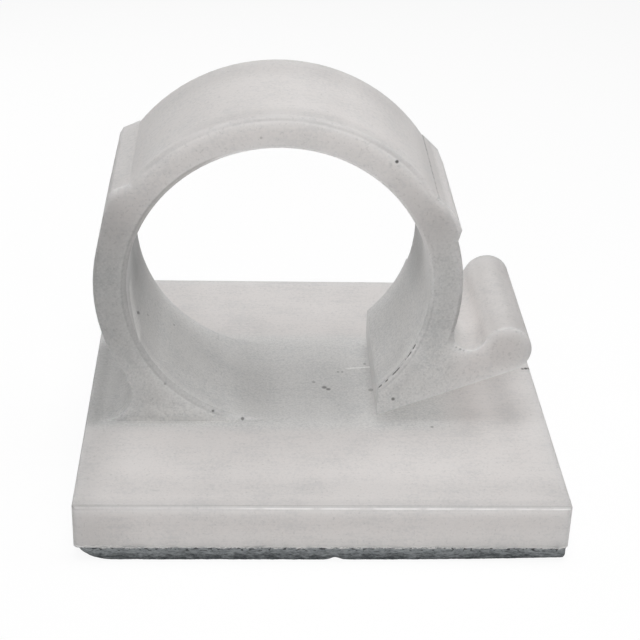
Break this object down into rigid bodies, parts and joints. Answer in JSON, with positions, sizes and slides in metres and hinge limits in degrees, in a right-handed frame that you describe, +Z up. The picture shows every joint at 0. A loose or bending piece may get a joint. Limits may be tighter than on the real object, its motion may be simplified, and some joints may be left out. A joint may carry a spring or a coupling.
{
  "type": "adhesive cable clip",
  "caption": "Square adhesive-backed cable clip with a round springy band over the bundle and a finger lever that lifts its free end.",
  "frame": {"origin": "middle of the foam pad's underside, where the clip is stuck down", "axes": "+Z up out of the mounting surface, +Y along the bundle, +X toward the lever"},
  "size_m": [0.0254, 0.0254, 0.021],
  "materials": {
    "nylon": "natural translucent nylon, softly matt",
    "foam": "grey closed-cell foam with a granular cut edge"
  },
  "bodies": {
    "root": {"clip_body": "nylon", "foam_pad": "foam"}
  },
  "joints": []
}
